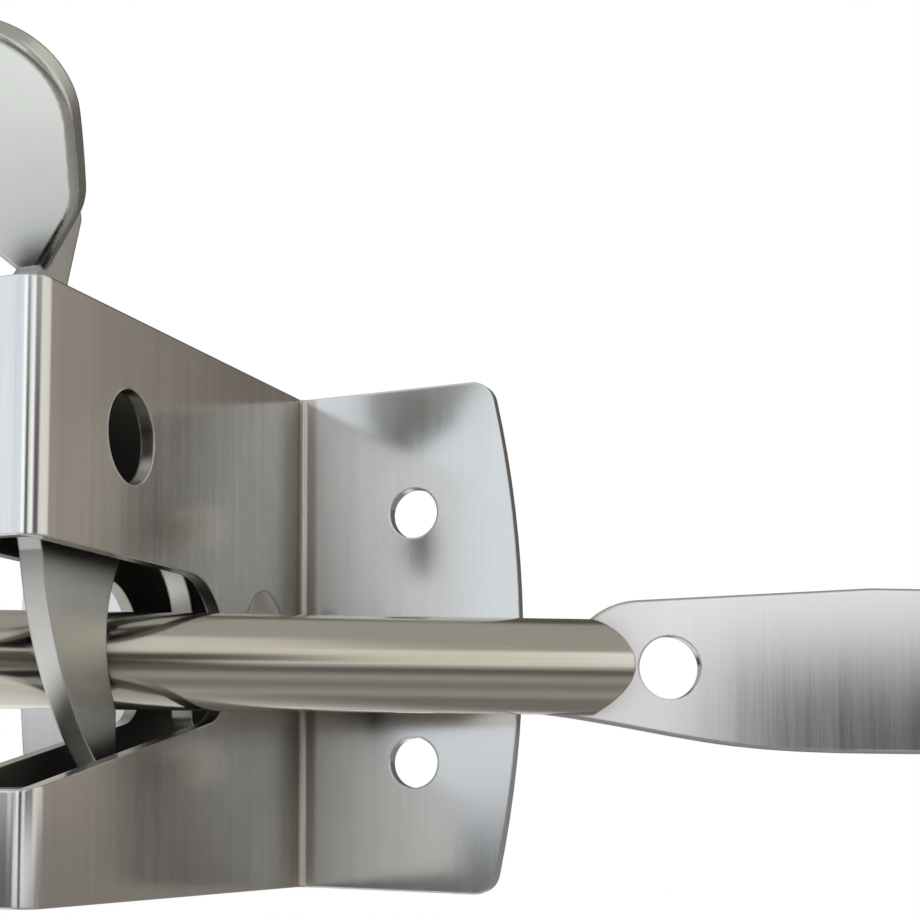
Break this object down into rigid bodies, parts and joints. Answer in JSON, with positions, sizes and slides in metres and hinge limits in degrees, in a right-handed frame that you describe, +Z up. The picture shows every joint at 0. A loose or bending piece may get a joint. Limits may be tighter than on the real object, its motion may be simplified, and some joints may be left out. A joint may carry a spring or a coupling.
{
  "type": "automatic gate catch",
  "caption": "Folded steel gate catch with a gravity hook pawl and thumb pad, holding a round striker bar with a flat drilled leaf in its open mouth.",
  "frame": {"origin": "centre of the screw holes on the back plane of the flanges", "axes": "+Y back into the post, +Z up, +X along the flanges towards the striker's leaf"},
  "size_m": [0.1332, 0.0956, 0.0783],
  "materials": {
    "brushed_sheet": "brushed stainless sheet",
    "satin_plate": "satin stainless plate",
    "rivet_steel": "plain stainless",
    "bar_steel": "drawn stainless bar, brushed leaf"
  },
  "bodies": {
    "catch": {"latch_body": "brushed_sheet", "pivot_rivet": "rivet_steel", "striker_bar": "bar_steel"},
    "pawl": {"pawl": "satin_plate"}
  },
  "joints": [
    {"name": "pawl_lift", "type": "hinge", "parent": "catch", "child": "pawl", "pos_m": [0, -0.0112, -0.0004], "axis": [-1, 0, 0], "range_deg": [0, 45]}
  ]
}
